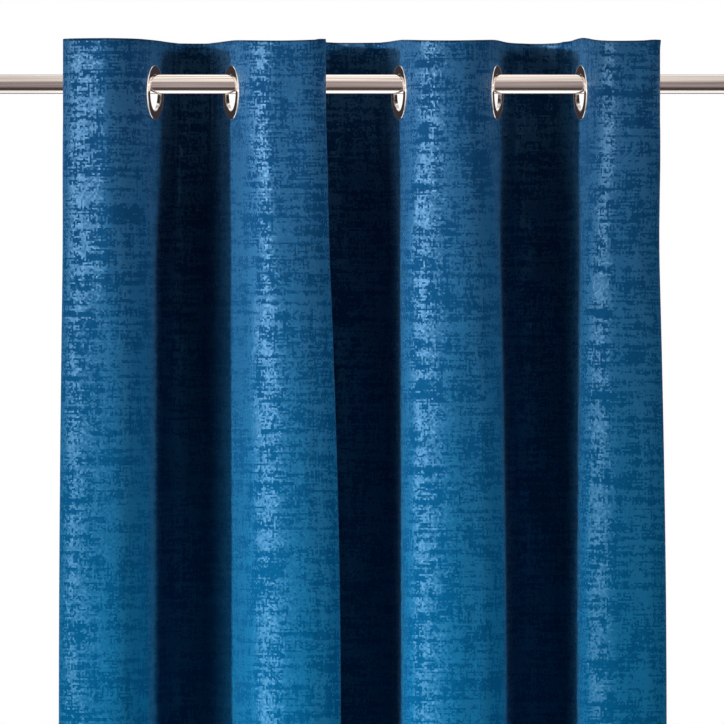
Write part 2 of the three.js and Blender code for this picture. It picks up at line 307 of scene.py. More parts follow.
def back_offset(across, down):
    """Depth of the cloth behind its middle: more where the heading, hem and sides are turned over."""
    from_side = np.minimum(across, PANEL_WIDTH - across)
    turned = 1.0 - ease(SIDE_HEM_DEPTH, SIDE_HEM_DEPTH + HEM_STEP, from_side)
    turned = np.maximum(turned, 1.0 - ease(HEADING_DEPTH, HEADING_DEPTH + HEM_STEP, down))
    turned = np.maximum(turned, 1.0 - ease(BOTTOM_HEM_DEPTH, BOTTOM_HEM_DEPTH + HEM_STEP, PANEL_DROP - down))
    return BACK_OFFSET + HEM_EXTRA * turned


def top_wave(across, down):
    """Rise of the cloth near its top edge: a smooth step from each eyelet's rise to the sag at each crest
    and back, which fades out above the rings."""
    along = np.clip((across - EDGE_WIDTH) / EYELET_PITCH, 0.0, FOLDS)
    fold = np.minimum(along.astype(int), FOLDS - 1)
    share = along - fold
    crest = CRESTS[fold]
    near = np.where(share < crest, TOP_RISE[fold], TOP_RISE[fold + 1])
    from_line = np.where(share < crest, share / crest, (1.0 - share) / (1.0 - crest))
    wave = near - (near + TOP_SAG[fold]) * ease(0.0, 1.0, from_line)
    return wave * (1.0 - ease(0.0, FLAT_START, down))


# Creases placed on the flat cloth, in millimetres: across and down at the upper end, across and down
# at the lower end, half width, and height out of the face, below zero for a trough
CREASES = np.array([
    (146.0, -20.0, 146.0, 215.0, 42.0, 6.0),
    (498.0, 45.0, 496.0, 210.0, 36.0, 4.0),
    (314.0, -20.0, 313.0, 120.0, 11.0, -4.0),
    (339.0, -20.0, 344.0, 60.0, 13.0, -5.0),
    (688.0, -20.0, 688.0, 140.0, 11.0, -4.5),
    (729.0, -20.0, 729.0, 90.0, 12.0, -5.0),
    (1055.0, -20.0, 1055.0, 80.0, 10.0, 3.0),
    (1085.0, -20.0, 1085.0, 70.0, 8.0, 2.5),
    (1108.0, -20.0, 1108.0, 110.0, 14.0, 4.0),
    (1300.0, -5.0, 1268.0, 62.0, 13.0, 2.6),
    (192.0, 260.0, 186.0, 900.0, 30.0, -2.0),
    (470.0, 300.0, 474.0, 1150.0, 30.0, 2.0),
    (541.0, 210.0, 546.0, 930.0, 27.0, -2.2),
    (846.0, 150.0, 842.0, 800.0, 32.0, 2.4),
    (905.0, 350.0, 909.0, 1250.0, 28.0, -2.0),
    (1214.0, 260.0, 1218.0, 1000.0, 26.0, 2.0),
    (1276.0, 300.0, 1272.0, 1350.0, 26.0, -2.2),
])
# The rounding of a ridge, and the length over which its ends fade
CREASE_TIP = 3.0
CREASE_FADE = 45.0


def crease_height(across, down):
    """Height of the creases out of the face: each is a ridge along a line, one less the distance over the
    half width, squared, with a rounded tip and an easy fade at both ends."""
    height = np.zeros_like(across)
    for top_across, top, low_across, low, width, rise in CREASES:
        share = np.clip((down - top) / (low - top), 0.0, 1.0)
        distance = np.hypot(across - top_across - (low_across - top_across) * share, CREASE_TIP)
        ridge = np.clip(1.0 - (distance - CREASE_TIP) / width, 0.0, 1.0) ** 2
        shown = ease(top - CREASE_FADE, top, down) * (1.0 - ease(low, low + 2 * CREASE_FADE, down))
        height += rise * ridge * shown
    return height


def cloth_points():
    """The sheet's face and reverse: each grid point is looked up in the plan of its height and moved out
    along the cloth's normal, with the outer edges thinned so that they look rounded. Also returns the place
    of each point on the flat cloth with its distance from the nearest edge, and the cells of the holes."""
    rows = band_lines(ROW_BANDS, PANEL_DROP)
    columns = across_lines()
    down, across = np.meshgrid(rows, columns, indexing="ij")
    across, down, holes = open_holes(across, down)
    plan_x, plan_y, plan_angle = cloth_plan(rows)
    place = np.clip(across / SUM_STEP, 0.0, plan_x.shape[1] - 1 - PLAN_MARGIN)
    first = place.astype(int)
    share = place - first
    line = np.arange(len(rows))[:, None]

    def looked_up(table):
        return table[line, first] * (1 - share) + table[line, first + 1] * share

    middle_x = looked_up(plan_x)
    middle_y = looked_up(plan_y)
    angle = looked_up(plan_angle)
    thin = np.ones_like(across)
    thin[[0, -1], :] = EDGE_THIN
    thin[:, [0, -1]] = EDGE_THIN
    height = TOP_Z - down + top_wave(across, down)
    crease = crease_height(across, down)
    layers = []
    for offset in (crease + FACE_OFFSET * thin, crease - back_offset(across, down) * thin):
        layer = (middle_x + np.sin(angle) * offset, middle_y - np.cos(angle) * offset, height)
        layers.append(np.stack(layer, axis=-1) * MM)
    from_edge = np.minimum(np.minimum(across, PANEL_WIDTH - across), np.minimum(down, PANEL_DROP - down))
    return layers, np.stack([across, down, from_edge], axis=-1), holes


def cell_corners(rows, columns):
    """The four corners of every grid cell, as point numbers, anticlockwise seen from the face."""
    number = np.arange(rows * columns).reshape(rows, columns)
    return np.stack([number[:-1, :-1], number[1:, :-1], number[1:, 1:], number[:-1, 1:]], axis=-1)


def border_edges(corners):
    """Directed edges that belong to one cell only: the outer border and the holes' rims."""
    edges = np.stack([corners, np.roll(corners, -1, axis=1)], axis=-1).reshape(-1, 2)
    key = edges.min(1).astype(np.int64) * (edges.max() + 1) + edges.max(1)
    _, first, count = np.unique(key, return_index=True, return_counts=True)
    return edges[first[count == 1]]


def new_piece(name, points, quads, triangles=np.zeros((0, 3), int), crisp=180.0):
    """A smooth mesh object at the origin from arrays of points and of four- and three-sided faces. Edges
    that turn by more than the crisp angle, in degrees, stay sharp."""
    mesh = bpy.data.meshes.new(name)
    mesh.vertices.add(len(points))
    mesh.vertices.foreach_set("co", points.astype(np.float32).ravel())
    corners = np.concatenate([quads.ravel(), triangles.ravel()]).astype(np.int32)
    sizes = np.concatenate([np.full(len(quads), 4), np.full(len(triangles), 3)]).astype(np.int32)
    mesh.loops.add(len(corners))
    mesh.loops.foreach_set("vertex_index", corners)
    mesh.polygons.add(len(sizes))
    mesh.polygons.foreach_set("loop_start", (np.cumsum(sizes) - sizes).astype(np.int32))
    mesh.polygons.foreach_set("use_smooth", np.full(len(sizes), True))
    mesh.update(calc_edges=True)
    mesh.validate()
    mesh.set_sharp_from_angle(angle=math.radians(crisp))
    piece = bpy.data.objects.new(name, mesh)
    bpy.context.collection.objects.link(piece)
    return piece


def curtain_cloth(layers, flat, holes, face_material, reverse_material):
    """The sheet closed from its face, its reverse and the strips that join them along every edge."""
    face, reverse = layers
    rows, columns = face.shape[:2]
    corners = cell_corners(rows, columns)[~holes]
    points = np.concatenate([face.reshape(-1, 3), reverse.reshape(-1, 3)])
    count = rows * columns
    border = border_edges(corners)
    strip = np.stack([border[:, 1], border[:, 0], border[:, 0] + count, border[:, 1] + count], axis=-1)
    quads = np.concatenate([corners, corners[:, ::-1] + count, strip])
    used = np.unique(quads)
    renumber = np.zeros(2 * count, np.int64)
    renumber[used] = np.arange(len(used))
    cloth = new_piece("curtain_cloth", points[used], renumber[quads])
    cloth.data.materials.append(face_material)
    cloth.data.materials.append(reverse_material)
    slots = np.zeros(len(quads), np.int32)
    slots[len(corners):2 * len(corners)] = 1
    cloth.data.polygons.foreach_set("material_index", slots)
    flat_twice = np.concatenate([flat.reshape(-1, 3), flat.reshape(-1, 3)])[used]
    attribute = cloth.data.attributes.new("flat_mm", "FLOAT_VECTOR", "POINT")
    attribute.data.foreach_set("vector", flat_twice.astype(np.float32).ravel())
    return cloth


# Stitches along the inner edge of each turned hem, on the reverse

STITCH_LENGTH = 4.2
STITCH_STEP = 5.6
STITCH_RADIUS = 0.45
STITCH_INSET = 6.0
STITCH_SIDES = 6
# Rings of points along a stitch: the share of its length and of its radius
STITCH_RINGS = ((-0.5, 0.3), (-0.32, 1.0), (0.32, 1.0), (0.5, 0.3))


def on_reverse(face, reverse, across, down):
    """Places on the reverse and the directions out of it: the four nearest grid points blended."""
    row = np.interp(down, band_lines(ROW_BANDS, PANEL_DROP), np.arange(face.shape[0]))
    column = np.interp(across, across_lines(), np.arange(face.shape[1]))
    top = np.minimum(row.astype(int), face.shape[0] - 2)
    left = np.minimum(column.astype(int), face.shape[1] - 2)
    low_share = (row - top)[:, None]
    right_share = (column - left)[:, None]

    def blended(layer):
        upper = layer[top, left] * (1 - right_share) + layer[top, left + 1] * right_share
        lower = layer[top + 1, left] * (1 - right_share) + layer[top + 1, left + 1] * right_share
        return upper * (1 - low_share) + lower * low_share

    place = blended(reverse)
    out = place - blended(face)
    return place, out / np.linalg.norm(out, axis=1, keepdims=True)


def stitch_middles():
    """Middles and directions of the stitches on the flat cloth: a line across at the heading and at the hem,
    and a line down each side."""
    lines = []
    side = SIDE_HEM_DEPTH - STITCH_INSET
    across = np.arange(side, PANEL_WIDTH - side, STITCH_STEP)
    for down in (HEADING_DEPTH - STITCH_INSET, HEM_TOP + STITCH_INSET):
        lines.append(np.stack([across, 0 * across + down, 0 * across + 1, 0 * across], axis=-1))
    down = np.arange(HEADING_DEPTH, HEM_TOP, STITCH_STEP)
    for across in (side, PANEL_WIDTH - side):
        lines.append(np.stack([0 * down + across, down, 0 * down, 0 * down + 1], axis=-1))
    return np.concatenate(lines)


def hem_stitches(layers, material):
    """The stitches as one mesh: short rods with tapered ends, half sunk into the reverse. Each ring of
    points is a circle between the direction out of the cloth and the direction across the stitch, and two
    four-sided faces close each end."""
    across, down, right, low = stitch_middles().T
    half = STITCH_LENGTH / 2
    start, _ = on_reverse(*layers, across - right * half, down - low * half)
    end, _ = on_reverse(*layers, across + right * half, down + low * half)
    middle, out = on_reverse(*layers, across, down)
    beside = np.cross(end - start, out)
    beside /= np.linalg.norm(beside, axis=1, keepdims=True)
    turn = np.linspace(0.0, 2 * math.pi, STITCH_SIDES, endpoint=False)[:, None]
    rings = []
    for length_share, radius_share in STITCH_RINGS:
        centre = middle + (end - start) * length_share
        radius = STITCH_RADIUS * radius_share * MM
        circle = np.cos(turn) * beside[:, None] + np.sin(turn) * out[:, None]
        rings.append(centre[:, None] + radius * circle)
    points = np.stack(rings, axis=1)
    number = np.arange(points[..., 0].size).reshape(points.shape[:3])
    after = np.roll(number, -1, axis=2)
    sides = np.stack([number[:, :-1], number[:, 1:], after[:, 1:], after[:, :-1]], axis=-1).reshape(-1, 4)
    caps = []
    for ring in (number[:, 0], number[:, -1, ::-1]):
        caps.extend([ring[:, [0, 1, 2, 3]], ring[:, [0, 3, 4, 5]]])
    stitches = new_piece("hem_stitches", points.reshape(-1, 3), np.concatenate([sides] + caps))
    stitches.data.materials.append(material)
    return stitches


# Turned pieces

# Edges that turn by more than this, in degrees, stay sharp on the metal
CRISP_ANGLE = 40.0
RING_TURNS = 72
ROD_TURNS = 64
DOME_STEPS = 10


def curve_points(start, bend, end, steps):
    """Points of a quadratic curve after its start: the blend of start, bend and end."""
    share = (np.arange(steps) + 1.0)[:, None] / steps
    start, bend, end = np.array(start), np.array(bend), np.array(end)
    return (1 - share) ** 2 * start + 2 * share * (1 - share) * bend + share**2 * end


def turned_points(section, turns):
    """Points of a section of radius and height carried round the Y axis, one row for each turn."""
    angle = np.linspace(0.0, 2 * math.pi, turns, endpoint=False)[:, None]
    radius, height = section[:, 0], section[:, 1]
    return np.stack([radius * np.sin(angle), height + 0.0 * angle, radius * np.cos(angle)], axis=-1)


def ring_quads(turns, steps):
    """Faces of a closed section carried round a closed circle."""
    number = np.arange(turns * steps).reshape(turns, steps)
    after = np.roll(number, -1, axis=0)
    corners = (number, after, np.roll(after, -1, axis=1), np.roll(number, -1, axis=1))
    return np.stack(corners, axis=-1).reshape(-1, 4)


def open_quads(turns, steps):
    """Faces of an open section carried round a closed circle."""
    return ring_quads(turns, steps).reshape(turns, steps, 4)[:, :-1].reshape(-1, 4)


def front_section():
    """The front ring: barrel, flange seat, rim and dome, as radius and height over the cloth's middle."""
    seat = FACE_OFFSET + SEAT
    end = -(BACK_OFFSET + HEM_EXTRA + SEAT + BACK_CROWN)
    crown = seat + FRONT_CROWN
    rim = (FLANGE_RADIUS, seat + FLANGE_RIM)
    dome_out = curve_points(rim, (FLANGE_RADIUS, crown), (CROWN_RADIUS, crown), DOME_STEPS)
    dome_in = curve_points((CROWN_RADIUS, crown), (BORE_RADIUS, crown), (BORE_RADIUS, seat), DOME_STEPS)
    start = [(BARREL_RADIUS, end), (BARREL_RADIUS, seat), (FLANGE_RADIUS, seat), rim]
    return np.concatenate([start, dome_out, dome_in, [(BORE_RADIUS, end)]])


def back_section():
    """The back ring: a domed washer around the barrel's end."""
    seat = -(BACK_OFFSET + HEM_EXTRA + SEAT)
    inner = BARREL_RADIUS + SEAT
    crown = seat - BACK_CROWN
    rim = (FLANGE_RADIUS, seat - FLANGE_RIM)
    start = [(FLANGE_RADIUS, seat), (inner, seat), (inner, crown), (CROWN_RADIUS, crown)]
    dome = curve_points((CROWN_RADIUS, crown), (FLANGE_RADIUS - FLANGE_RIM, crown), rim, DOME_STEPS)
    return np.concatenate([start, dome])


def eyelet_ring(name, section, index, material):
    """A turned ring set at an eyelet: its axis is the cloth's normal and its bore hangs on the rod."""
    points = turned_points(section, RING_TURNS).reshape(-1, 3)
    angle = SIDES[index] * math.radians(HEAD_TURN[index]) + math.pi
    turned_x = points[:, 0] * math.cos(angle) - points[:, 1] * math.sin(angle) + HEAD_X[index]
    turned_y = points[:, 0] * math.sin(angle) + points[:, 1] * math.cos(angle)
    placed = np.stack([turned_x, turned_y, points[:, 2] + EYELET_Z], axis=-1) * MM
    ring = new_piece(name, placed, ring_quads(RING_TURNS, len(section)), crisp=CRISP_ANGLE)
    ring.data.materials.append(material)
    return ring


def pole_fan(pole, rim):
    """Triangles from one point to the rim of points around it."""
    return np.stack([np.full_like(rim, pole), rim, np.roll(rim, -1)], axis=-1)


def turned_bar(section, turns):
    """Points and faces of an open section of radius and height, turned round an axis and laid along X, with
    a fan closing each end."""
    steps = len(section)
    poles = np.array([(0.0, section[0, 1], 0.0), (0.0, section[-1, 1], 0.0)])
    points = np.concatenate([turned_points(section, turns).reshape(-1, 3), poles])
    laid = np.stack([points[:, 1], -points[:, 0], points[:, 2]], axis=-1) * MM
    quads = open_quads(turns, steps)
    first_rim = np.arange(turns) * steps
    count = turns * steps
    ends = np.concatenate([pole_fan(count, first_rim[::-1]), pole_fan(count + 1, first_rim + steps - 1)])
    return laid, quads, ends


def curtain_rod(material):
    """The rod: the section of its side and chamfers, turned."""
    half = ROD_LENGTH / 2
    section = np.array([
        (ROD_RADIUS - ROD_CHAMFER, -half), (ROD_RADIUS, ROD_CHAMFER - half),
        (ROD_RADIUS, half - ROD_CHAMFER), (ROD_RADIUS - ROD_CHAMFER, half),
    ])
    rod = new_piece("curtain_rod", *turned_bar(section, ROD_TURNS), crisp=CRISP_ANGLE)
    rod.data.materials.append(material)
    return rod


# Materials

def linear(hex_colour):
    """A colour in linear light from its sRGB hex value."""
    channels = [int(hex_colour[start:start + 2], 16) / 255 for start in (1, 3, 5)]
    return tuple(c / 12.92 if c <= 0.04045 else ((c + 0.055) / 1.055) ** 2.4 for c in channels) + (1.0,)


def set_inputs(tree, node, inputs):
    """Sets inputs of a node to values or links them to sockets."""
    for name, value in dict(inputs).items():
        if isinstance(value, bpy.types.NodeSocket):
            tree.links.new(value, node.inputs[name])
        else:
            node.inputs[name].default_value = value


def add_node(tree, kind, settings=(), inputs=()):
    """A new node with its settings and inputs."""
    node = tree.nodes.new(kind)
    for name, value in dict(settings).items():
        setattr(node, name, value)
    set_inputs(tree, node, inputs)
    return node


def ranged(tree, value, start=0.0, end=1.0, low=0.0, high=1.0, kind="LINEAR"):
    """A value from start to end carried over to one from low to high."""
    return add_node(tree, "ShaderNodeMapRange", {"interpolation_type": kind}, {
        "Value": value, "From Min": start, "From Max": end, "To Min": low, "To Max": high}).outputs[0]


def eased(tree, value, start, end, low=0.0, high=1.0):
    """A value from start to end carried over, on a smooth step, to one from low to high."""
    return ranged(tree, value, start, end, low, high, "SMOOTHSTEP")


def mixed(tree, share, *colours):
    """The blend, by a share, of two colours that are sRGB hex values or sockets."""
    first, second = [linear(colour) if isinstance(colour, str) else colour for colour in colours]
    return add_node(tree, "ShaderNodeMix", {"data_type": "RGBA"}, {0: share, 6: first, 7: second}).outputs[2]


def new_material(name):
    """An empty material with its surface shader, and the shader's tree."""
    material = bpy.data.materials.new(name)
    material.use_nodes = True
    tree = material.node_tree
    tree.nodes.clear()
    shader = add_node(tree, "ShaderNodeBsdfPrincipled")
    add_node(tree, "ShaderNodeOutputMaterial", {}, {"Surface": shader.outputs["BSDF"]})
    return material, tree, shader


# The scale at which a wave texture repeats once in each unit of length
WAVE_SCALE = math.pi / 10
# Most values of a noise texture lie between these
NOISE_LOW = 0.3
NOISE_HIGH = 0.7

# The velvet's marks: each row is a layer of worn marks, with its size across and down in millimetres and its
# weight in the pattern
VELVET_MARKS = (
    (100.0, 5.5, 0.95),
    (8.0, 70.0, 0.55),
    (40.0, 30.0, 0.8),
    (16.0, 1.7, 0.85),
    (1.7, 11.0, 0.65),
)
# How far each layer is moved from the one before, so that their marks don't repeat each other
LAYER_SHIFT = (11.3, 5.7)
# Real tufts are about half a millimetre, and are drawn coarser so that they show. Their places scatter by a
# share of that, and each adds its own chance to the wear, by a weight, and has its own lean
TUFT_MM = 1.7
TUFT_SCATTER = 0.25
TUFT_WEIGHT = 0.38
TUFT_TILT = 0.4
# How far below and above the pattern's middle the pile begins to wear and the ground is bare
WEAR_START = 0.15
WEAR_END = 0.09
# The colour is greyer at the heading, a painted sheen of light falling from above, and is the full dye from
# this
# far down: each pair is a colour at the heading and one low down
TOP_SHEEN_DEPTH = 720.0
PILE_DYES_AND_TOP_SHEEN = ("#124570", "#045886")
GROUND_DYES_AND_TOP_SHEEN = ("#215a87", "#086b9a")
# The roughness of the pile and of the bare ground, the pile's shine, and the ground's at the heading and low
# down
PILE_ROUGHNESS = 1.0
GROUND_ROUGHNESS = 0.5
PILE_SHINE = 0.05
HEAD_SHINE = 1.0
LOW_SHINE = 0.5
# A painted shade line of this width and colour darkens the cloth along all its outer edges
EDGE_SHADE_MM = 3.0
EDGE_SHADE_COLOUR = "#07102f"


def distressed_velvet():
    """Velvet with a worn pile: a smooth satin ground that shines towards the light, and dark matt pile left
    standing in dashes along both threads, broken up tuft by tuft, each tuft leaning its own way."""
    material, tree, shader = new_material("distressed_velvet")
    flat = add_node(tree, "ShaderNodeAttribute", {"attribute_name": "flat_mm"})
    tufts = add_node(tree, "ShaderNodeTexVoronoi", {"voronoi_dimensions": "2D"},
                     {"Vector": flat.outputs["Vector"], "Scale": 1 / TUFT_MM, "Randomness": TUFT_SCATTER})
    chance = add_node(tree, "ShaderNodeSeparateXYZ", {}, {0: tufts.outputs["Color"]})
    wear = add_node(tree, "ShaderNodeMath", {"operation": "MULTIPLY"},
                    {0: chance.outputs["Z"], 1: TUFT_WEIGHT})
    for number, (across, down, weight) in enumerate(VELVET_MARKS):
        place = add_node(tree, "ShaderNodeMapping", {}, {
            "Vector": tufts.outputs["Position"], "Scale": (1 / across, 1 / down, 1.0),
            "Location": (LAYER_SHIFT[0] * number, LAYER_SHIFT[1] * number, 0.0)})
        marks = add_node(tree, "ShaderNodeTexNoise", {"noise_dimensions": "2D"},
                         {"Vector": place.outputs[0], "Scale": 1.0, "Detail": 1.0})
        wear = add_node(tree, "ShaderNodeMath", {"operation": "MULTIPLY_ADD"},
                        {0: marks.outputs["Fac"], 1: weight, 2: wear.outputs[0]})
    middle = (TUFT_WEIGHT + sum(weight for _, _, weight in VELVET_MARKS)) / 2
    ground = eased(tree, wear.outputs[0], middle - WEAR_START, middle + WEAR_END)
    parts = add_node(tree, "ShaderNodeSeparateXYZ", {}, {0: flat.outputs["Vector"]})
    # Painted sheen: towards the heading the dyes turn greyer, as if lit from above
    fall = eased(tree, parts.outputs["Y"], 0.0, TOP_SHEEN_DEPTH)
    pile_dye_and_sheen = mixed(tree, fall, *PILE_DYES_AND_TOP_SHEEN)
    ground_dye_and_sheen = mixed(tree, fall, *GROUND_DYES_AND_TOP_SHEEN)
    dye_and_painted_sheen = mixed(tree, ground, pile_dye_and_sheen, ground_dye_and_sheen)
    # Painted shade: a dark line along the cloth's outer edges, where less light reaches
    inside = eased(tree, parts.outputs["Z"], 0.0, EDGE_SHADE_MM)
    colour = mixed(tree, inside, EDGE_SHADE_COLOUR, dye_and_painted_sheen)
    gloss = ranged(tree, ground, low=PILE_ROUGHNESS, high=GROUND_ROUGHNESS)
    worn_shine = ranged(tree, fall, low=HEAD_SHINE, high=LOW_SHINE)
    shine = ranged(tree, ground, low=PILE_SHINE, high=worn_shine)
    lean = add_node(tree, "ShaderNodeVectorMath", {"operation": "MULTIPLY_ADD"}, {
        0: tufts.outputs["Color"], 1: (TUFT_TILT,) * 3, 2: (-TUFT_TILT / 2,) * 3})
    upright = add_node(tree, "ShaderNodeNewGeometry")
    leaning = add_node(tree, "ShaderNodeVectorMath", {"operation": "ADD"},
                       {0: upright.outputs["Normal"], 1: lean.outputs[0]})
    normal = add_node(tree, "ShaderNodeVectorMath", {"operation": "NORMALIZE"}, {0: leaning.outputs[0]})
    set_inputs(tree, shader, {
        "Base Color": colour, "Roughness": gloss,
        "Specular IOR Level": shine, "Normal": normal.outputs[0],
        "IOR": 1.6, "Specular Tint": linear("#98ccf2"),
        "Sheen Weight": 1.0, "Sheen Roughness": 0.3, "Sheen Tint": linear("#6a9ccc")})
    return material


# The reverse is a plain weave of about half a millimetre, drawn coarser so that it shows
REVERSE_THREAD_MM = 2.4
REVERSE_SLUB_MM = (1.8, 45.0)
SLUB_WEIGHT = 1.4
# The weave's heights at which the reverse is darkest and palest, and the depth of its relief
WEAVE_LOW = 0.5
WEAVE_HIGH = 1.7
WEAVE_RELIEF_MM = 0.3


def woven_reverse():
    """The plain woven reverse: threads both ways as fine ribs, with thick, pale threads here and there."""
    material, tree, shader = new_material("woven_reverse")
    flat = add_node(tree, "ShaderNodeAttribute", {"attribute_name": "flat_mm"})
    ribs = []
    slubs = []
    for direction, (across, down) in (("X", REVERSE_SLUB_MM), ("Y", REVERSE_SLUB_MM[::-1])):
        wave = add_node(tree, "ShaderNodeTexWave", {"bands_direction": direction},
                        {"Vector": flat.outputs["Vector"], "Scale": WAVE_SCALE / REVERSE_THREAD_MM})
        place = add_node(tree, "ShaderNodeMapping", {}, {
            "Vector": flat.outputs["Vector"], "Scale": (1 / across, 1 / down, 1.0)})
        thick = add_node(tree, "ShaderNodeTexNoise", {"noise_dimensions": "2D"},
                         {"Vector": place.outputs[0], "Scale": 1.0, "Detail": 1.0})
        ribs.append(wave.outputs["Fac"])
        slubs.append(thick.outputs["Fac"])
    weave = add_node(tree, "ShaderNodeMath", {"operation": "MULTIPLY"}, {0: ribs[0], 1: ribs[1]})
    thickest = add_node(tree, "ShaderNodeMath", {"operation": "MAXIMUM"}, {0: slubs[0], 1: slubs[1]})
    height = add_node(tree, "ShaderNodeMath", {"operation": "MULTIPLY_ADD"},
                      {0: thickest.outputs[0], 1: SLUB_WEIGHT, 2: weave.outputs[0]})
    shade = ranged(tree, height.outputs[0], WEAVE_LOW, WEAVE_HIGH)
    colour = mixed(tree, shade, "#1f4a6c", "#41759b")
    bump = add_node(tree, "ShaderNodeBump", {},
                    {"Height": height.outputs[0], "Strength": 0.5, "Distance": WEAVE_RELIEF_MM * MM})
    set_inputs(tree, shader, {
        "Base Color": colour, "Normal": bump.outputs[0],
        "Roughness": 0.85, "Specular IOR Level": 0.2,
        "Sheen Weight": 0.15, "Sheen Tint": linear("#5f8fb5")})
    return material


# Real strands are some tenths of a millimetre wide, and are drawn coarser so that they show
THREAD_STRAND_MM = 1.7


def sewing_thread():
    """Twisted thread a little paler than the reverse, with its strands as fine slanted ribs."""
    material, tree, shader = new_material("sewing_thread")
    place = add_node(tree, "ShaderNodeTexCoord")
    strands = add_node(tree, "ShaderNodeTexWave", {"bands_direction": "DIAGONAL"},
                       {"Vector": place.outputs["Object"], "Scale": WAVE_SCALE / (THREAD_STRAND_MM * MM)})
    colour = mixed(tree, strands.outputs["Fac"], "#3b6f95", "#6f9cbd")
    set_inputs(tree, shader, {"Base Color": colour, "Roughness": 0.55})
    return material


# Real brush lines are some hundredths of a millimetre wide, and are drawn coarser so that they show
BRUSH_WIDTH_MM = 1.1
BRUSH_LENGTH_MM = 140.0
BRUSH_RELIEF_MM = 0.02
# The roughness of the dark and of the pale streaks
BRUSH_ROUGHNESS = (0.17, 0.09)


def satin_nickel():
    """Warm nickel brushed along the rod: fine streaks of gloss and tone that run with its length."""
    material, tree, shader = new_material("satin_nickel")
    place = add_node(tree, "ShaderNodeTexCoord")
    stretched = add_node(tree, "ShaderNodeMapping", {}, {
        "Vector": place.outputs["Object"],
        "Scale": (1 / (BRUSH_LENGTH_MM * MM), 1 / (BRUSH_WIDTH_MM * MM), 1 / (BRUSH_WIDTH_MM * MM))})
    streaks = add_node(tree, "ShaderNodeTexNoise", {},
                       {"Vector": stretched.outputs[0], "Scale": 1.0, "Detail": 3.0})
    share = ranged(tree, streaks.outputs["Fac"], NOISE_LOW, NOISE_HIGH)
    colour = mixed(tree, share, "#b9ada7", "#ece4df")
    gloss = ranged(tree, share, 0.0, 1.0, *BRUSH_ROUGHNESS)
    bump = add_node(tree, "ShaderNodeBump", {},
                    {"Height": share, "Strength": 0.2, "Distance": BRUSH_RELIEF_MM * MM})
    set_inputs(tree, shader, {
        "Base Color": colour, "Roughness": gloss, "Normal": bump.outputs[0], "Metallic": 1.0})
    return material


HANDLING_MARK_MM = 5.0
# The roughness of the clean and of the handled metal
POLISH_ROUGHNESS = (0.04, 0.11)


def polished_nickel():
    """Bright warm nickel on the rings, a near mirror with faint clouds of handling wear."""
    material, tree, shader = new_material("polished_nickel")
    place = add_node(tree, "ShaderNodeTexCoord")
    clouds = add_node(tree, "ShaderNodeTexNoise", {}, {
        "Vector": place.outputs["Object"], "Scale": 1 / (HANDLING_MARK_MM * MM), "Detail": 4.0})
    gloss = ranged(tree, clouds.outputs["Fac"], NOISE_LOW, NOISE_HIGH, *POLISH_ROUGHNESS)
    colour = mixed(tree, clouds.outputs["Fac"], "#e6e0da", "#dad2cb")
    set_inputs(tree, shader, {"Base Color": colour, "Roughness": gloss, "Metallic": 1.0})
    return material


# The studio, with its floor and lights in metres

FLOOR_GAP = 0.02
FLOOR_TURNS = 96
FLOOR_RINGS = (0.2, 0.6, 2.0, 5.0, 11.0)
EYE_HEIGHT = (ROD_PIXEL_Y - PHOTO_PIXELS / 2) * PIXEL_MM * MM
LIGHT_DISTANCE = 4.0


def aimed(thing, place, target):
    """Puts a light or camera at a place, looking at a target."""
    thing.location = place
    direction = np.array(target) - np.array(place)
    flat = math.hypot(direction[0], direction[1])
    thing.rotation_euler = (math.atan2(flat, -direction[2]), 0.0, math.atan2(-direction[0], direction[1]))


# One row for each light: its name, the place that it is aimed at, across and up in metres, its direction
# from there, in degrees to the right of the camera's side and above the level, its width and height, the
# spread of its beam, its power, whether it lights the surface, and whether it gleams on it
SOFT_BOXES = (
    ("left_strip", (0.04, -1.42), (-58.0, 6.0), (0.34, 3.0), 4.8, 3.8, True, True),
    ("left_fill", (0.02, -0.45), (-46.0, 6.0), (1.6, 3.0), 36.0, 4.1, True, False),
    ("left_gleam", (0.02, -0.45), (-46.0, 6.0), (1.6, 3.0), 36.0, 4.8, False, True),
    ("right_gleam", (-0.06, -0.45), (52.0, 6.0), (1.0, 3.0), 13.0, 0.8, True, True),
    ("right_fill", (-0.06, -0.45), (52.0, 6.0), (1.0, 3.0), 13.0, 4.0, True, False),
    ("back_fill", (0.0, -0.45), (205.0, 30.0), (2.0, 2.0), 180.0, 90.0, True, False),
)


def soft_box(name, aim, direction_from, size, spread, watts, lights, gleams):
    """A rectangular light with a grid, which the camera doesn't see. One that only lights gives the cloth no
    shine, and one that only gleams gives it nothing else."""
    turn, lift = np.radians(direction_from)
    level = math.cos(lift)
    direction = np.array([math.sin(turn) * level, -math.cos(turn) * level, math.sin(lift)])
    target = np.array([aim[0], 0.0, aim[1]])
    lamp = bpy.data.lights.new(name, "AREA")
    lamp.shape = "RECTANGLE"
    lamp.size, lamp.size_y = size
    lamp.spread = math.radians(spread)
    lamp.energy = watts
    light = bpy.data.objects.new(name, lamp)
    light.visible_camera = False
    light.visible_diffuse = lights
    light.visible_glossy = gleams
    bpy.context.collection.objects.link(light)
    aimed(light, target + LIGHT_DISTANCE * direction, target)


def studio_camera():
    """The camera level with the photograph's middle, far off, framing the photograph's width at the rod."""
    frame_width = PHOTO_PIXELS * PIXEL_MM * MM
    data = bpy.data.cameras.new("camera")
    data.sensor_width = SENSOR_MM
    data.lens = SENSOR_MM * CAMERA_DISTANCE / frame_width
    data.clip_end = VIEW_END
    camera = bpy.data.objects.new("camera", data)
    bpy.context.collection.objects.link(camera)
    aimed(camera, (0.0, -CAMERA_DISTANCE, EYE_HEIGHT), (0.0, 0.0, EYE_HEIGHT))
    bpy.context.scene.camera = camera


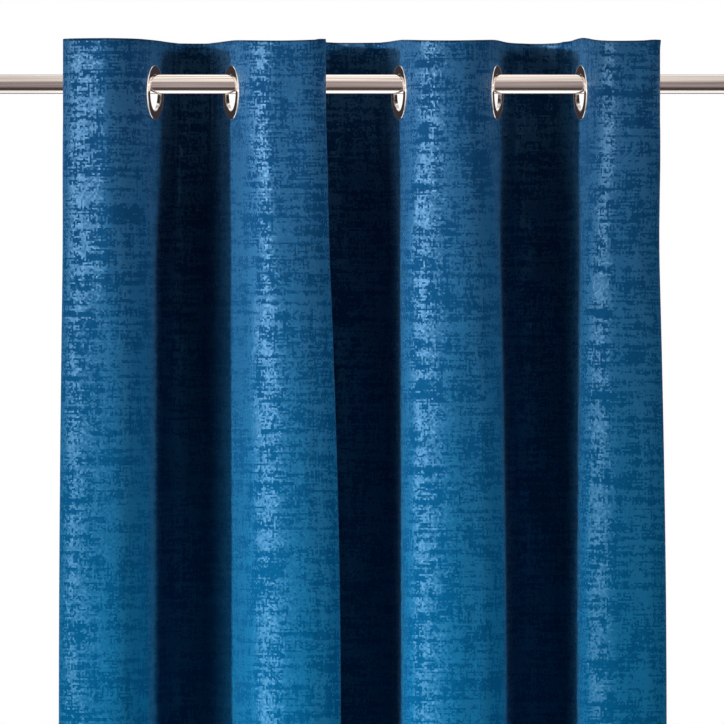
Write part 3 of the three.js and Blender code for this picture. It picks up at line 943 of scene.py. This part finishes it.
def studio_floor():
    """A wide pale disc just under the hem: rings of points round the Z axis."""
    radius = np.array(FLOOR_RINGS)
    rings = len(radius)
    angle = np.linspace(0.0, 2 * math.pi, FLOOR_TURNS, endpoint=False)[:, None]
    height = (TOP_Z - PANEL_DROP) * MM - FLOOR_GAP
    level = height + 0.0 * radius * angle
    points = np.stack([radius * np.cos(angle), radius * np.sin(angle), level], axis=-1)
    quads = open_quads(FLOOR_TURNS, rings)[:, ::-1]
    centre = pole_fan(FLOOR_TURNS * rings, np.arange(FLOOR_TURNS) * rings)
    points = np.concatenate([points.reshape(-1, 3), [(0.0, 0.0, height)]])
    floor = new_piece("studio_floor", points, quads, centre)
    material, tree, shader = new_material("pale_floor")
    set_inputs(tree, shader, {
        "Base Color": linear("#c9c9ca"), "Roughness": 0.9,
        "Emission Color": linear("#ffffff"), "Emission Strength": 0.55})
    floor.data.materials.append(material)
    floor.visible_diffuse = False
    floor.visible_glossy = False


# The tone that the studio shows to the metal, by the angle in degrees from the camera's side up over the
# top: the bright floor at the back, the dark floor in front, the dim room, and the pale surroundings above
STUDIO_TONES = (
    (-140.0, "#4a4450"),
    (-136.0, "#ffffff"),
    (-87.0, "#ffffff"),
    (-83.0, "#4a4a42"),
    (-46.0, "#3d383b"),
    (-32.0, "#8c8485"),
    (28.0, "#8f8685"),
    (35.0, "#d3d0cb"),
    (112.0, "#d3d0cb"),
    (135.0, "#ffffff"),
    (150.0, "#8f8685"),
)
STUDIO_GAIN = 2.0
# In millimetres, as the other turned pieces are
BALL_RADIUS = 9000.0
BALL_STEPS = 49
# To the far left and right the metal mirrors the sides of the studio, dark at the back and pale in front.
# They change over the first share of the ball's radius, and take over between the other two
SIDE_BACK = "#2a272b"
SIDE_FRONT = "#e2dedc"
SIDE_CHANGE = 0.2
SIDE_START = 0.12
SIDE_END = 0.4
# Flags on both sides of the camera dim what the rod's bare ends mirror, between the first two shares of the
# radius, to the third share of its tone
FLAG_START = 0.05
FLAG_END = 0.06
FLAG_DIM = 0.66
# The strength of the world's light all round and overhead, and the height in the sky, as a share, from
# which it rises to that overhead
FILL = 0.02
TOP_FILL = 0.9
OVERHEAD_START = 0.6


def studio_ball(metal_pieces):
    """A great glowing ball around the studio that only the metal mirrors, so that the cloth keeps its own
    lights: a half circle, turned. Its tone follows the angle round the rod, is dimmed by the flags, and
    eases to the tones of the studio's sides."""
    turn = np.linspace(0.0, math.pi, BALL_STEPS)[1:-1]
    section = np.stack([np.sin(turn), -np.cos(turn)], axis=-1) * BALL_RADIUS
    ball = new_piece("studio_ball", *turned_bar(section, ROD_TURNS))
    material, tree, shader = new_material("studio_tones")
    place = add_node(tree, "ShaderNodeTexCoord")
    parts = add_node(tree, "ShaderNodeSeparateXYZ", {}, {0: place.outputs["Object"]})
    ahead = add_node(tree, "ShaderNodeMath", {"operation": "MULTIPLY"}, {0: parts.outputs["Y"], 1: -1.0})
    angle = add_node(tree, "ShaderNodeMath", {"operation": "ARCTAN2"},
                     {0: parts.outputs["Z"], 1: ahead.outputs[0]})
    share = ranged(tree, angle.outputs[0], -math.pi, math.pi)
    tones = add_node(tree, "ShaderNodeValToRGB", {}, {0: share})
    stops = tones.color_ramp.elements
    for number, (degrees, colour) in enumerate(STUDIO_TONES):
        stop = stops[number] if number < len(stops) else stops.new(1.0)
        stop.position = (degrees + 180) / 360
        stop.color = linear(colour)
    sideways = add_node(tree, "ShaderNodeMath", {"operation": "ABSOLUTE"}, {0: parts.outputs["X"]})
    reach = BALL_RADIUS * MM
    flags = eased(tree, sideways.outputs[0], FLAG_START * reach, FLAG_END * reach, 1.0, FLAG_DIM)
    dimmed = add_node(tree, "ShaderNodeVectorMath", {"operation": "SCALE"},
                      {0: tones.outputs["Color"], "Scale": flags})
    beside = eased(tree, sideways.outputs[0], SIDE_START * reach, SIDE_END * reach)
    front = eased(tree, ahead.outputs[0], -SIDE_CHANGE * reach, SIDE_CHANGE * reach)
    sides = mixed(tree, front, SIDE_BACK, SIDE_FRONT)
    room = mixed(tree, beside, dimmed.outputs[0], sides)
    set_inputs(tree, shader, {
        "Base Color": linear("#000000"), "Specular IOR Level": 0.0,
        "Emission Color": room, "Emission Strength": STUDIO_GAIN})
    ball.data.materials.append(material)
    mirrors = bpy.data.collections.new("mirrors")
    for piece in metal_pieces:
        mirrors.objects.link(piece)
    ball.light_linking.receiver_collection = mirrors
    ball.visible_camera = False
    ball.visible_diffuse = False
    ball.visible_shadow = False


def studio_world():
    """White where the camera sees past the object, and a dim fill, brighter overhead, for all else."""
    world = bpy.data.worlds.new("studio")
    bpy.context.scene.world = world
    world.use_nodes = True
    tree = world.node_tree
    tree.nodes.clear()
    direction = add_node(tree, "ShaderNodeTexCoord")
    parts = add_node(tree, "ShaderNodeSeparateXYZ", {}, {0: direction.outputs["Generated"]})
    overhead = eased(tree, parts.outputs["Z"], OVERHEAD_START, 1.0, FILL, TOP_FILL)
    path = add_node(tree, "ShaderNodeLightPath")
    fill = add_node(tree, "ShaderNodeBackground", {}, {"Color": linear("#ffffff"), "Strength": overhead})
    seen = add_node(tree, "ShaderNodeBackground", {}, {"Color": linear("#ffffff")})
    shown = add_node(tree, "ShaderNodeMixShader", {}, {
        0: path.outputs["Is Camera Ray"], 1: fill.outputs[0], 2: seen.outputs[0]})
    add_node(tree, "ShaderNodeOutputWorld", {}, {"Surface": shown.outputs[0]})


# Putting it together

bpy.context.scene.view_settings.view_transform = "Standard"
studio_camera()
studio_world()
studio_floor()
for soft_box_row in SOFT_BOXES:
    soft_box(*soft_box_row)

cloth_layers, flat_places, ring_holes = cloth_points()
cloth = curtain_cloth(cloth_layers, flat_places, ring_holes, distressed_velvet(), woven_reverse())
# The metal mirrors the studio and not the cloth
cloth.visible_glossy = False
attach(cloth, BODY)
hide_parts("curtain_panel")

stitches = hem_stitches(cloth_layers, sewing_thread())
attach(stitches, BODY)

ring_metal = polished_nickel()
rings = []
for index in range(EYELETS):
    for half, section in (("front", front_section()), ("back", back_section())):
        ring = eyelet_ring(f"eyelet_ring_{index + 1}_{half}", section, index, ring_metal)
        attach(ring, BODY)
        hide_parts(f"eyelet_{index + 1}_{half}")
        rings.append(ring)

rod = curtain_rod(satin_nickel())
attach(rod, BODY)
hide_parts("rod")
studio_ball(rings + [rod])
